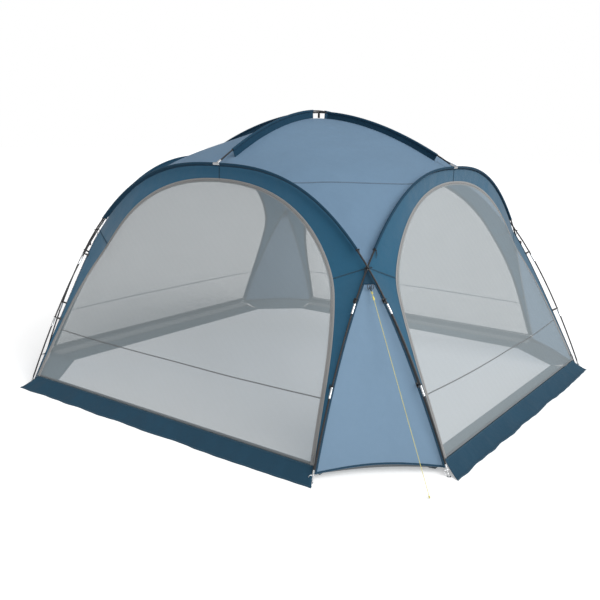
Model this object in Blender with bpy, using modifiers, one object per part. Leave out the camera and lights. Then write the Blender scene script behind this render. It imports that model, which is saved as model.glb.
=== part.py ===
"""Dome screen shelter: four arch poles crossing at the corners, two roof poles, one curved canopy, four netting
walls whose zipped corners fold open, four skirts and one guyline. Metres, +Z up. The origin is on the ground under
the peak, and the front wall faces -Y. Each wall is modelled once at the front and turned about Z for its side."""

import math

import bmesh
import bpy
import numpy as np
from mathutils import Matrix, Vector

# Driving dimensions
FOOT_REACH = 2.000  # half the distance between the two feet of one arch
WALL_REACH = 1.392  # distance of an arch's plane from the middle, at the ground
ARCH_HEIGHT = 1.814  # height of an arch's pole above the ground
ARCH_POWER = 2.67  # squareness of an arch
ARCH_LEAN = 0.059  # how far an arch leans inwards for each metre of height
PEAK_HEIGHT = 2.224  # where the roof poles cross
ROOF_POWER = 1.86  # squareness of a roof pole

# Poles
POLE_RADIUS = 0.0060
POLE_GAP = 0.0006  # air between two poles that cross
CROSSING_SHIFT = 0.0105  # arches pass each other: front and back move out by this, the sides move in
SECTION = 0.550  # length of one pole section
LEG_SECTIONS = 2
TOUCH_GAP = 0.0003
POLE_SIDES = 2  # bevel resolution, which gives eight sides

# Fabric
FABRIC = 0.003
FABRIC_INSET = 0.024  # fabric edges hang this far inside the pole that carries them
LEG_SLACK = 0.030  # taut fabric runs straighter than a leg: extra inset halfway up the leg
EDGE_GAP = 0.006  # between two sheets that meet at an angle
SHELL_HEART = Vector((0.0, 0.0, 0.6))  # the inset runs towards this point
HEM_HEIGHT = 0.085
RIDGE_DROP = 0.055  # canopy below a roof pole
RIDGE_DROP_END = 0.030  # the same at the arch
RIDGE_DROP_RUN = 0.25
CANOPY_SAG = 0.10

# Zip line of a wall, half outline from the hem to the top: a straight stretch, then one Bezier curve
ZIP_FOOT_X = 1.345
ZIP_STRAIGHT_TOP = (1.274, 0.520)
ZIP_TOP = 1.694
ZIP_STRAIGHT_POINTS = 12
ZIP_RISE = 0.75  # how far the Bezier handle at the end of the straight stretch rises
ZIP_SHOULDER = 0.79  # length of the Bezier handle at the top
ZIP_TOP_Y = 1.266
ZIP_TOP_SLOPE = 0.215
ZIP_BLEND = 0.04
NET_EDGE = 0.010  # netting ends this far from the zip's teeth
NET_SIDE_SHARE = 0.4  # of the netting's curved edge, the share that counts as its side
WALL_MIDDLE = Vector((0.0, -1.700, 0.800))

# Door flap, zip slider and pull
FOLD_HEM_X = 0.350  # where the fold line meets the hem
FOLD_GAP = 0.003
SLIDER_START = 0.130  # height of the slider with the zip closed
SLIDER_SIZE = (0.012, 0.016, 0.0055)
SLIDER_OFFSET = 0.0110  # slider's middle outside the band
PULL_SIZE = (0.008, 0.034, 0.0018)
PULL_OFFSET = 0.0178

# Skirt and corner panel
SKIRT_TOP = 0.076
SKIRT_TOP_REACH = 1.946
SKIRT_REACH = 2.066
SKIRT_TOP_HALF = 1.340
SKIRT_HALF = 1.420
SKIRT_FLOOR = 0.0021
PANEL_FOOT = 0.035
PANEL_ARCH = 0.028
PANEL_TOP = 1.142

# Feet and hubs
FOOT_LENGTH = 0.080
FOOT_DISC_RADIUS = 0.012
FOOT_DISC_HEIGHT = 0.005
HUB_RADIUS = 0.0105
HUB_BORE = 0.0066
HUB_LENGTH = 0.060
HUB_STUB = 0.045
HUB_SEAT = 0.014
HOOK_SIZE = (0.020, 0.003)
CUT_OVERRUN = 0.006  # how far a cutter passes the face that it opens

# Guyline, from the loop under the front right crossing to the ground
LOOP_ROOT = Vector((1.3500, -1.3500, 1.1000))
LOOP_TIP = Vector((1.3780, -1.3755, 1.0790))
LOOP_WIDTH = 0.012
LOOP_RADIUS = 0.0016
GUY_START = Vector((1.3825, -1.3781, 1.0740))
GUY_END = Vector((2.0360, -1.7410, 0.0024))
GUY_RADIUS = 0.0015
GUY_POINTS = 24
RUNNER_AT = 0.045
RUNNER_SIZE = (0.011, 0.008, 0.026)
RUNNER_HOLE = 0.0024

SIDES = ("front", "right", "back", "left")
CORNERS = ("front_right", "back_right", "back_left", "front_left")

FINISHES = {
    "black_pole": ((0.016, 0.016, 0.018), 0.38, 0.0),
    "silver_fitting": ((0.62, 0.63, 0.65), 0.30, 0.9),
    "light_blue_canopy": ((0.205, 0.310, 0.425), 0.62, 0.0),
    "dark_blue_fabric": ((0.024, 0.086, 0.140), 0.62, 0.0),
    "grey_netting": ((0.36, 0.38, 0.39), 0.80, 0.0),
    "zip_metal": ((0.25, 0.26, 0.27), 0.40, 0.6),
    "black_webbing": ((0.020, 0.020, 0.022), 0.80, 0.0),
    "yellow_cord": ((0.78, 0.62, 0.16), 0.60, 0.0),
}


def steps(low, high, count):
    """Evenly spaced numbers from low to high."""
    return [low + (high - low) * i / (count - 1) for i in range(count)]


def clear_scene():
    for obj in list(bpy.data.objects):
        bpy.data.objects.remove(obj, do_unlink=True)


def new_collection(name):
    collection = bpy.data.collections.new(name)
    bpy.context.scene.collection.children.link(collection)
    return collection


def material(name):
    colour, roughness, metallic = FINISHES[name]
    made = bpy.data.materials.get(name) or bpy.data.materials.new(name)
    made.use_nodes = True
    shader = made.node_tree.nodes["Principled BSDF"]
    shader.inputs["Base Color"].default_value = (*colour, 1.0)
    shader.inputs["Roughness"].default_value = roughness
    shader.inputs["Metallic"].default_value = metallic
    return made


def add(name, data, finish, matrix=Matrix.Identity(4)):
    """A new object of the shelter with its material, at the given place."""
    if not data.materials:
        data.materials.append(material(finish))
    obj = bpy.data.objects.new(name, data)
    obj.matrix_world = matrix
    parts.objects.link(obj)


def add_moving(names, data, finish, origin):
    """One object for each name, each turned to its side. Its own origin lies on the axis on which it moves."""
    data.transform(Matrix.Translation(-origin))
    for side, name in enumerate(names):
        add(name, data, finish, turn(side) @ Matrix.Translation(origin))


def turn(side):
    """The matrix that takes the front wall to a side, counted anticlockwise from the front."""
    return Matrix.Rotation(side * math.pi / 2, 4, "Z")


def add_turned(names, data, finish):
    """Four copies of one piece, which share their mesh, one for each side."""
    for side, name in enumerate(names):
        add(name, data, finish, turn(side))


def mesh_from(bm, name, smooth=True):
    bmesh.ops.recalc_face_normals(bm, faces=bm.faces)
    data = bpy.data.meshes.new(name)
    bm.to_mesh(data)
    bm.free()
    if smooth:
        data.shade_smooth()
        data.set_sharp_from_angle(angle=math.radians(40))
    return data


def baked(obj):
    """The object's evaluated mesh in world space. The object and its cutters are removed."""
    bpy.context.view_layer.update()
    graph = bpy.context.evaluated_depsgraph_get()
    data = bpy.data.meshes.new_from_object(obj.evaluated_get(graph))
    data.transform(obj.matrix_world)
    bm = bmesh.new()
    bm.from_mesh(data)
    bmesh.ops.remove_doubles(bm, verts=bm.verts, dist=1e-6)
    bm.to_mesh(data)
    bm.free()
    for helper in list(cutters.objects):
        bpy.data.objects.remove(helper)
    return data


def sheet(name, columns, rows, place, solid=FABRIC):
    """A fabric sheet: a grid whose points go to place(u, v), with u and v from 0 to 1, made solid."""
    bm = bmesh.new()
    bmesh.ops.create_grid(bm, x_segments=columns, y_segments=rows, size=1.0)
    for vertex in bm.verts:
        vertex.co = place((vertex.co.x + 1) / 2, (vertex.co.y + 1) / 2)
    return thickened(bm, name, solid)


def thickened(bm, name, solid=FABRIC):
    """The mesh of an open surface given a thickness on both sides."""
    helper = bpy.data.objects.new(name, mesh_from(bm, name))
    cutters.objects.link(helper)
    solidify = helper.modifiers.new("thickness", "SOLIDIFY")
    solidify.thickness = solid
    solidify.offset = 0.0
    solidify.use_even_offset = True
    return baked(helper)


def tube(name, points, radius, cyclic=False):
    curve = bpy.data.curves.new(name, "CURVE")
    curve.dimensions = "3D"
    curve.bevel_depth = radius
    curve.bevel_resolution = POLE_SIDES
    curve.use_fill_caps = True
    spline = curve.splines.new("POLY")
    spline.points.add(len(points) - 1)
    for point, place in zip(spline.points, points):
        point.co = (*place, 1.0)
    spline.use_cyclic_u = cyclic
    return curve


def rod(name, start, end, radius, sides=16):
    """A helper cylinder between two points."""
    bm = bmesh.new()
    axis = Vector(end) - Vector(start)
    bmesh.ops.create_cone(
        bm, cap_ends=True, segments=sides, radius1=radius, radius2=radius, depth=axis.length
    )
    obj = bpy.data.objects.new(name, mesh_from(bm, name))
    obj.matrix_world = Matrix.Translation((Vector(start) + Vector(end)) / 2) @ axis.to_track_quat(
        "Z", "Y"
    ).to_matrix().to_4x4()
    cutters.objects.link(obj)
    obj.hide_render = True
    obj.display_type = "WIRE"
    return obj


def combine(target, other, operation):
    boolean = target.modifiers.new(other.name, "BOOLEAN")
    boolean.operation = operation
    boolean.object = other


# Curves that the poles and the fabric follow, all for the front wall


def arch_point(x, shift=0.0):
    """A point of the front arch's pole line at x, with its plane moved outwards by shift."""
    z = ARCH_HEIGHT * (1 - abs(x / FOOT_REACH) ** ARCH_POWER)
    return Vector((x, -(WALL_REACH + shift - ARCH_LEAN * z), z))


def leg_width(z):
    """Half the width of an arch at height z."""
    return FOOT_REACH * max(1 - z / ARCH_HEIGHT, 0.0) ** (1 / ARCH_POWER)


def along(points):
    """A function from 0..1 to the place that far along a line of points, by length."""
    line = np.array([tuple(point) for point in points])
    lengths = np.concatenate([[0], np.cumsum(np.linalg.norm(np.diff(line, axis=0), axis=1))])

    def place(share):
        at = share * lengths[-1]
        return Vector([float(np.interp(at, lengths, line[:, axis])) for axis in range(3)])

    place.length = float(lengths[-1])
    return place


def crossing():
    """Where two neighbouring arches cross: x there, and the height."""
    low, high = 1.0, FOOT_REACH
    for _ in range(60):
        x = (low + high) / 2
        low, high = (x, high) if x < -arch_point(x).y else (low, x)
    return x, arch_point(x).z


CROSS_X, CROSS_Z = crossing()


def inset(point, distance=FABRIC_INSET):
    """The point moved towards the inside of the shelter."""
    return point + (SHELL_HEART - point).normalized() * distance


def beside_leg(point):
    """The fabric's edge next to a point of a bare leg."""
    return inset(point, FABRIC_INSET + LEG_SLACK * math.sin(math.pi * min(point.z / CROSS_Z, 1)))


def neighbour_leg(z):
    """The leg of the right-hand arch that comes down beside the front wall."""
    return Vector((WALL_REACH - ARCH_LEAN * z, -leg_width(z), z))


def wall_edge_half():
    """The front wall's fabric edge from the right foot, up the leg to the crossing, to the top of the arch."""
    leg = [beside_leg(neighbour_leg(z)) for z in steps(HEM_HEIGHT, CROSS_Z, 40)]
    return leg + [inset(arch_point(x)) for x in steps(CROSS_X, 0.0, 40)[1:]]


def bezier(a, b, c, d, t):
    return (1 - t) ** 3 * a + 3 * (1 - t) ** 2 * t * b + 3 * (1 - t) * t**2 * c + t**3 * d


def zip_depth(z):
    """Distance of the zip line from the middle at height z: it follows the cloth's edge, then the arch's plane."""
    low, high = -beside_leg(neighbour_leg(z)).y, ZIP_TOP_Y + ZIP_TOP_SLOPE * (ZIP_TOP - z)
    return (low + high + math.hypot(low - high, ZIP_BLEND)) / 2


def zip_half():
    """The front wall's zip line from the right foot to the top."""
    foot = Vector((ZIP_FOOT_X, HEM_HEIGHT))
    knee = Vector(ZIP_STRAIGHT_TOP)
    rise = (knee - foot) / (knee - foot).y * ZIP_RISE
    top = Vector((0.0, ZIP_TOP))
    shoulder = Vector((ZIP_SHOULDER, ZIP_TOP))
    straight = [foot.lerp(knee, t) for t in steps(0, 1, ZIP_STRAIGHT_POINTS)]
    round_part = [bezier(knee, knee + rise, shoulder, top, t) for t in steps(0, 1, 60)[1:]]
    return [Vector((p.x, -zip_depth(p.y), p.y)) for p in straight + round_part]


def mirrored(half):
    """A half line from the right foot to the middle, carried on to the left foot."""
    return half + [Vector((-p.x, p.y, p.z)) for p in reversed(half[:-1])]


def coons(u, v, low, high, left, right):
    """The smooth patch between four edges: low and high run along u, left and right along v."""
    across = low(u) * (1 - v) + high(u) * v
    up = left(v) * (1 - u) + right(v) * u
    corners = (low(0) * (1 - u) + low(1) * u) * (1 - v) + (high(0) * (1 - u) + high(1) * u) * v
    return across + up - corners


# Poles


def arch_length_line():
    """The half arch from the right foot to the top, for measuring lengths along it."""
    return along([arch_point(x) for x in steps(FOOT_REACH, 0.0, 400)])


def arch_pieces(side, name):
    """The crown and the two legs of one arch. Each leg is two sections long."""
    shift = arch_shift(side)
    half = arch_length_line()
    joint_x = half(LEG_SECTIONS * SECTION / half.length).x
    foot_x = half(FOOT_LENGTH / half.length).x
    gap = TOUCH_GAP
    crown = [arch_point(x, shift) for x in steps(-joint_x + gap, joint_x - gap, 31)]
    add(f"{name}_arch_crown", tube("crown", crown, POLE_RADIUS), "black_pole", turn(side))
    for sign, hand in ((-1, "left"), (1, "right")):
        leg = [arch_point(sign * x, shift) for x in steps(foot_x - gap, joint_x, 9)]
        data = tube("leg", leg, POLE_RADIUS)
        add(f"{name}_arch_{hand}_leg", data, "black_pole", turn(side))


def roof_point(t, reach, rise):
    """A point of a roof pole, with t from -1 to 1 between the two arches that carry it."""
    z = ARCH_HEIGHT + (PEAK_HEIGHT - ARCH_HEIGHT) * (1 - abs(t) ** ROOF_POWER)
    return Vector((0.0, t * reach, z + rise * (1 - t * t)))


def apex_reach(shift=0.0):
    return -arch_point(0.0, shift).y


def arch_shift(side):
    """How far the side's arch stands outside its nominal plane, so that arches pass each other at the corners."""
    return CROSSING_SHIFT if side % 2 == 0 else -CROSSING_SHIFT


def roof_pole_point(side, t):
    """A point of the roof pole that ends at this side's arch, with t = -1 at this arch and 1 at the one opposite."""
    rise = POLE_RADIUS + POLE_GAP / 2
    return roof_point(t, apex_reach(arch_shift(side)), rise if side % 2 == 0 else -rise)


def roof_poles():
    """Two poles that cross at the peak, the front to back one on top. Their ends sit in the hubs' stubs."""
    for side, name in ((0, "roof_pole_front_to_back"), (1, "roof_pole_side_to_side")):
        end = 1 - (HUB_SEAT + TOUCH_GAP) * stub_direction(side).y / apex_reach()
        points = [roof_pole_point(side, t) for t in steps(-end, end, 29)]
        add(name, tube(name, points, POLE_RADIUS), "black_pole", turn(side))


def stub_direction(side):
    """The direction in which the roof pole leaves the side's arch, drawn at the front."""
    return (roof_pole_point(side, -0.975) - roof_pole_point(side, -1)).normalized()


def hub_mesh(side):
    """A tee that slides on the top of an arch and holds the end of a roof pole in its stub."""
    centre = arch_point(0.0, arch_shift(side))
    half = Vector((HUB_LENGTH / 2, 0, 0))
    past = Vector((HUB_LENGTH / 2 + CUT_OVERRUN, 0, 0))
    stub = stub_direction(side)
    body = rod("hub", centre - half, centre + half, HUB_RADIUS)
    combine(body, rod("stub", centre, centre + stub * HUB_STUB, HUB_RADIUS), "UNION")
    combine(body, rod("arch_bore", centre - past, centre + past, HUB_BORE), "DIFFERENCE")
    seat = centre + stub * HUB_SEAT
    mouth = centre + stub * (HUB_STUB + CUT_OVERRUN)
    combine(body, rod("pole_bore", seat, mouth, HUB_BORE), "DIFFERENCE")
    return baked(body)


def hubs():
    for side, name in enumerate(SIDES):
        add(f"{name}_apex_hub", hub_mesh(side), "silver_fitting", turn(side))


def foot_mesh(sign, shift):
    """A metal end on an arch's foot, standing on a flat disc."""
    ground = arch_point(sign * FOOT_REACH, shift)
    half = arch_length_line()
    top = arch_point(sign * half(FOOT_LENGTH / half.length).x, shift)
    lift = Vector((0, 0, FOOT_DISC_HEIGHT))
    disc = rod("disc", ground, ground + lift, FOOT_DISC_RADIUS, 20)
    start = ground.lerp(top, 0.6 * FOOT_DISC_HEIGHT / top.z)
    combine(disc, rod("shank", start, top, POLE_RADIUS), "UNION")
    return baked(disc)


def feet():
    for side, name in enumerate(SIDES):
        for sign, hand in ((-1, "left"), (1, "right")):
            data = foot_mesh(sign, arch_shift(side))
            add(f"{name}_arch_{hand}_foot", data, "silver_fitting", turn(side))


def peak_hook():
    """The short strap that hangs the canopy's top from the crossing of the roof poles."""
    top = PEAK_HEIGHT - 2 * POLE_RADIUS - POLE_GAP - TOUCH_GAP
    bottom = PEAK_HEIGHT - RIDGE_DROP + FABRIC
    bm = bmesh.new()
    bmesh.ops.create_cube(bm, size=1.0)
    bmesh.ops.scale(bm, vec=(*HOOK_SIZE, top - bottom), verts=bm.verts)
    bmesh.ops.translate(bm, vec=(0, 0, (top + bottom) / 2), verts=bm.verts)
    add("peak_hook", mesh_from(bm, "peak_hook", smooth=False), "black_webbing")


# Fabric


def ridge_height(share):
    """Height of the canopy under a roof pole, with share 0 at the peak and 1 at the arch."""
    reach = apex_reach() - FABRIC_INSET
    to_arch = (1 - share) * reach
    eased = min(to_arch / RIDGE_DROP_RUN, 1.0)
    drop = RIDGE_DROP_END + (RIDGE_DROP - RIDGE_DROP_END) * math.sin(eased * math.pi / 2)
    return roof_point(share, reach, 0.0).z - drop


def canopy_point(u, v):
    """The canopy over the whole square: each quarter spans two ridges and two arches, and sags a little."""
    x, y = 2 * u - 1, 2 * v - 1
    a, b = abs(x), abs(y)
    along_x, along_y = arch_point(a * CROSS_X), arch_point(b * CROSS_X)
    top = canopy_height(a, b, ridge_height, arch_edge_height)
    reach_y = -inset(along_x, FABRIC_INSET + EDGE_GAP).y
    reach_x = -inset(along_y, FABRIC_INSET + EDGE_GAP).y
    return Vector((x * reach_x, y * reach_y, top))


def arch_edge_height(share):
    return inset(arch_point(share * CROSS_X), FABRIC_INSET + EDGE_GAP).z


def canopy_height(a, b, ridge, edge):
    across = (1 - b) * ridge(a) + b * edge(a) + (1 - a) * ridge(b) + a * edge(b)
    apex = edge(0)
    corners = (1 - a) * (1 - b) * ridge(0) + (a + b - 2 * a * b) * apex + a * b * edge(1)
    return across - corners - CANOPY_SAG * 16 * a * (1 - a) * b * (1 - b)


def canopy():
    add("roof_canopy", sheet("roof_canopy", 18, 18, canopy_point), "light_blue_canopy")


def band_mesh():
    """The wide binding of a wall, from the zip line out to the poles, from one foot over the arch to the other."""
    zip_line = along(mirrored(zip_half()))
    edge = along(mirrored(wall_edge_half()))
    return sheet("arch_band", 36, 2, lambda u, v: zip_line(u).lerp(edge(u), v))


def toward(point, target, distance):
    return point + (target - point).normalized() * distance


def net_edge_half():
    """The netting's edge: the zip line moved towards the middle of the wall."""
    return [toward(p, WALL_MIDDLE, NET_EDGE) for p in zip_half()]


def fold_points():
    """The two ends of the door flap's fold line, at the hem and at the zip."""
    zip_edge = net_edge_half()
    hem = Vector((FOLD_HEM_X, zip_edge[0].y, HEM_HEIGHT))
    knee = min(zip_edge, key=lambda p: abs(p.z - ZIP_STRAIGHT_TOP[1]))
    return hem, knee


def netting_edges():
    """The four edges of the netting's main patch. Its low edge runs down a fold, along the hem and up the other."""
    hem, knee = fold_points()
    upper = [p for p in net_edge_half() if p.z >= knee.z - 1e-6]
    split = int(len(upper) * NET_SIDE_SHARE)
    right = along(upper[: split + 1])
    half_top = upper[split:]
    top = along([Vector((-p.x, p.y, p.z)) for p in half_top] + list(reversed(half_top[:-1])))
    left = along([Vector((-p.x, p.y, p.z)) for p in upper[: split + 1]])
    down = Vector((-hem.x, hem.y, hem.z)), Vector((-knee.x, knee.y, knee.z))

    def low(u):
        if u < 1 / 3:
            return down[1].lerp(down[0], u * 3)
        if u > 2 / 3:
            return hem.lerp(knee, u * 3 - 2)
        return down[0].lerp(hem, u * 3 - 1)

    return low, top, left, right


def netting_mesh():
    """One wall's netting without its right-hand corner, which is the door flap. The left corner is a flat fan."""
    low, high, left, right = netting_edges()
    columns, rows = 18, 7
    hem, knee = fold_points()
    outwards = (hem - knee).cross(Vector((1, 0, 0))).normalized()
    away = outwards.cross(knee - hem).normalized() * FOLD_GAP
    away = away if away.z > 0 else -away
    bm = bmesh.new()
    bmesh.ops.create_grid(bm, x_segments=columns, y_segments=rows, size=1.0)
    fan = []
    for vertex in bm.verts:
        u, v = (vertex.co.x + 1) / 2, (vertex.co.y + 1) / 2
        vertex.co = coons(u, v, low, high, left, right)
        if v == 0 and u > 2 / 3 - 1e-6:
            vertex.co += away
        if v == 0 and u < 1 / 3 + 1e-6:
            fan.append((u, vertex))
    foot = net_edge_half()[0]
    corner = bm.verts.new(Vector((-foot.x, foot.y, foot.z)))
    ring = [vertex for _, vertex in sorted(fan, key=lambda item: item[0])]
    for first, second in zip(ring, ring[1:]):
        bm.faces.new((corner, first, second))
    return thickened(bm, "netting")


def flap_mesh():
    """The flat corner of netting below the fold line, between the hem and the straight stretch of the zip."""
    hem, knee = fold_points()
    foot = net_edge_half()[0]
    middle = (hem + knee + foot) / 3
    across = (knee - hem).normalized()
    away = (foot - hem) - across * (foot - hem).dot(across)
    away = away.normalized() * FOLD_GAP
    bm = bmesh.new()
    low, high = hem + away, knee + away
    low, high = low + across * FOLD_GAP, high - across * FOLD_GAP
    bm.faces.new([bm.verts.new(p) for p in (low, toward(foot, middle, FOLD_GAP), high)])
    return thickened(bm, "door_flap")


def panel_point(u, v):
    """The front right corner panel, between the two legs of one corner, with its bottom edge arched up."""
    bottom = PANEL_FOOT + PANEL_ARCH * math.sin(math.pi * u)
    z = bottom + (PANEL_TOP - bottom) * v
    leg = neighbour_leg(z)
    first, second = beside_leg(leg), beside_leg(Vector((-leg.y, -leg.x, z)))
    margin = EDGE_GAP / (second - first).length
    return first.lerp(second, margin + (1 - 2 * margin) * u)


def skirt_point(u, v):
    """The flared skirt along the foot of the front wall, from the hem down to the ground outside."""
    x = 2 * u - 1
    half = SKIRT_TOP_HALF + (SKIRT_HALF - SKIRT_TOP_HALF) * v
    y = SKIRT_TOP_REACH + (SKIRT_REACH - SKIRT_TOP_REACH) * v
    z = SKIRT_TOP + (SKIRT_FLOOR - SKIRT_TOP) * v
    return Vector((x * half, -y, z))


def walls():
    """The sewn pieces that each side or corner has one of."""
    add_turned([f"{s}_arch_band" for s in SIDES], band_mesh(), "dark_blue_fabric")
    add_turned([f"{s}_netting" for s in SIDES], netting_mesh(), "grey_netting")
    add_moving([f"{s}_door_flap" for s in SIDES], flap_mesh(), "grey_netting", fold_points()[0])
    panel = sheet("corner_panel", 6, 8, panel_point)
    add_turned([f"{c}_corner_panel" for c in CORNERS], panel, "light_blue_canopy")
    add_turned([f"{s}_skirt" for s in SIDES], sheet("skirt", 8, 2, skirt_point), "dark_blue_fabric")


# Zip hardware and guyline


def zip_frame():
    """The place and the directions of a slider on the closed zip: along the zip, across it and outwards."""
    line = zip_half()
    foot, knee = line[0], line[ZIP_STRAIGHT_POINTS - 1]
    up = (knee - foot).normalized()
    outwards = up.cross(Vector((-1, 0, 0))).normalized()
    outwards = outwards if outwards.y < 0 else -outwards
    across = up.cross(outwards).normalized()
    place = foot + up * ((SLIDER_START - foot.z) / up.z)
    return place, across, up, outwards


def block(name, size, place, axes):
    """A bevelled block whose own X, Y and Z lie along the three axes."""
    bm = bmesh.new()
    bmesh.ops.create_cube(bm, size=1.0)
    bmesh.ops.scale(bm, vec=size, verts=bm.verts)
    bmesh.ops.bevel(bm, geom=bm.edges, offset=min(size) * 0.25, segments=1, affect="EDGES")
    matrix = Matrix(axes).transposed().to_4x4()
    matrix.translation = place
    bmesh.ops.transform(bm, matrix=matrix, verts=bm.verts)
    return mesh_from(bm, name)


def slider_mesh():
    place, across, up, outwards = zip_frame()
    return block("slider", SLIDER_SIZE, place + outwards * SLIDER_OFFSET, (across, up, outwards))


def pull_mesh():
    """The pull hangs down the zip from the slider, flat against the wall."""
    place, across, up, outwards = zip_frame()
    middle = place + outwards * PULL_OFFSET - up * (PULL_SIZE[1] / 2 - PULL_SIZE[2])
    return block("pull", PULL_SIZE, middle, (across, up, outwards))


def zip_hardware():
    place, _, _, outwards = zip_frame()
    names = [f"{s}_zip_slider" for s in SIDES]
    add_moving(names, slider_mesh(), "zip_metal", place + outwards * SLIDER_OFFSET)
    names = [f"{s}_zip_pull" for s in SIDES]
    add_moving(names, pull_mesh(), "zip_metal", place + outwards * PULL_OFFSET)


def guyline_loop():
    """A closed strap loop that stands out from the corner panel under the crossing."""
    reach = LOOP_TIP - LOOP_ROOT
    middle = (LOOP_TIP + LOOP_ROOT) / 2
    across = Vector((reach.y, -reach.x, 0)).cross(reach).normalized() * LOOP_WIDTH / 2
    points = []
    for step in range(16):
        angle = 2 * math.pi * step / 16
        points.append(middle + reach / 2 * math.cos(angle) + across * math.sin(angle))
    add("guyline_loop", tube("loop", points, LOOP_RADIUS, cyclic=True), "black_webbing")


def guyline():
    points = [GUY_START.lerp(GUY_END, t) for t in steps(0, 1, GUY_POINTS)]
    add("guyline", tube("guyline", points, GUY_RADIUS), "yellow_cord")


def runner():
    """The tensioner that slides on the guyline, which passes through its hole."""
    down = (GUY_END - GUY_START).normalized()
    across = down.cross(Vector((0, 0, 1))).normalized()
    place = GUY_START + down * RUNNER_AT
    data = block("runner", RUNNER_SIZE, place, (across, down.cross(across), down))
    body = bpy.data.objects.new("runner", data)
    cutters.objects.link(body)
    past = down * (RUNNER_SIZE[2] / 2 + CUT_OVERRUN)
    combine(body, rod("hole", place - past, place + past, RUNNER_HOLE), "DIFFERENCE")
    made = baked(body)
    made.transform(Matrix.Translation(-place))
    add("guyline_runner", made, "yellow_cord", Matrix.Translation(place))


clear_scene()
parts = new_collection("dome_screen_shelter")
cutters = new_collection("cutters")
for number, side_name in enumerate(SIDES):
    arch_pieces(number, side_name)
roof_poles()
hubs()
feet()
peak_hook()
canopy()
walls()
zip_hardware()
guyline_loop()
guyline()
runner()
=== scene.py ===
"""Looks of the dome screen shelter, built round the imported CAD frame. Metres, +Z up. Each wall's pieces are
modelled at the front, which faces -Y, and turned about Z for the other three sides."""

import math
from functools import partial

import bmesh
import bpy
import numpy as np
from mathutils import Matrix, Vector, noise


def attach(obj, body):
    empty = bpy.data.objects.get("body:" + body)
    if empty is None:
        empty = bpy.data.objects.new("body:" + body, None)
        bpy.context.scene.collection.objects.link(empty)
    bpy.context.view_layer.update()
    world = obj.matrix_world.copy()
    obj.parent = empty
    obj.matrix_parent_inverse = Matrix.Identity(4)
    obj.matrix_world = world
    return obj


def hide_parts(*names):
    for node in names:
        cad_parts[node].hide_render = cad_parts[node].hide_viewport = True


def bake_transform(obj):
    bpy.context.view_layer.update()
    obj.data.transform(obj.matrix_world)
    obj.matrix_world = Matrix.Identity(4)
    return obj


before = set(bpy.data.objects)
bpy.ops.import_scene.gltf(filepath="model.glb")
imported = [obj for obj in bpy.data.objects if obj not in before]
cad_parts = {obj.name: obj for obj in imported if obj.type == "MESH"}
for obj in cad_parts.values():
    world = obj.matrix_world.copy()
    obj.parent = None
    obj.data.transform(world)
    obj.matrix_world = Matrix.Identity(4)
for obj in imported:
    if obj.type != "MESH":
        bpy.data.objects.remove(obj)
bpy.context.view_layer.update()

SIDES = ("front", "right", "back", "left")
CORNERS = ("front_right", "back_right", "back_left", "front_left")

# Driving dimensions of the CAD model
POLE_RADIUS = 0.006
FOOT_REACH = 2.000
ARCH_HEIGHT = 1.814
PEAK_HEIGHT = 2.224
WALL_REACH = 1.392
ARCH_POWER = 2.67
ARCH_LEAN = 0.059
ROOF_POWER = 1.86
CROSSING_SHIFT = 0.0105
SECTION = 0.550

FABRIC_INSET = 0.024
LEG_SLACK = 0.030
EDGE_GAP = 0.006
SHELL_HEART = Vector((0.0, 0.0, 0.6))
HEM_HEIGHT = 0.085
RIDGE_DROP = 0.055
RIDGE_DROP_END = 0.030
RIDGE_DROP_RUN = 0.25
CANOPY_SAG = 0.10

ZIP_FOOT_X = 1.345
ZIP_STRAIGHT_TOP = (1.274, 0.520)
ZIP_TOP = 1.694
ZIP_RISE = 0.75
ZIP_SHOULDER = 0.79
ZIP_TOP_Y = 1.266
ZIP_TOP_SLOPE = 0.215
ZIP_BLEND = 0.04
NET_SIDE_SHARE = 0.4
FOLD_HEM_X = 0.350

# Looks only
CLOTH_THICKNESS = 0.0012
STITCH_LENGTH = 0.0045
SLEEVE_REACH = 1.225  # arch sleeves end at this x
SLEEVE_RADIUS = 0.0098
ROOF_SLEEVE_RUN = (0.09, 1.12)  # a roof sleeve runs between these distances from the peak
ROOF_SEAM_AT = 0.404  # where a canopy seam meets the two arches, as a share of the way to the crossing
ROOF_SEAM_MIDDLE = (0.869, 0.131)  # the same seam half way, in the canopy's u and v
TAPE_WIDTH = 0.015  # one half of the zip tape
SEAM_FOOT = 1.120  # height at which the band's seam below a crossing reaches the zip
FOLD_REACH = 0.045  # across_the_fold's points lie within this distance of the netting's fold line
NET_SEAM_HEIGHT = 0.445
CLIPS_AT = (0.592, 1.167)  # hook clips on a leg, from the foot
GUY_START = Vector((1.3825, -1.3781, 1.0740))
GUY_END = Vector((2.0360, -1.7410, 0.0024))
GUY_RADIUS = 0.0015
GUY_POINTS = 24


def steps(low, high, count):
    """Evenly spaced numbers from low to high."""
    return [low + (high - low) * i / (count - 1) for i in range(count)]


def smooth(t):
    t = min(max(t, 0.0), 1.0)
    return t * t * (3 - 2 * t)


def turn(side):
    return Matrix.Rotation(side * math.pi / 2, 4, "Z")


# Materials


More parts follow.
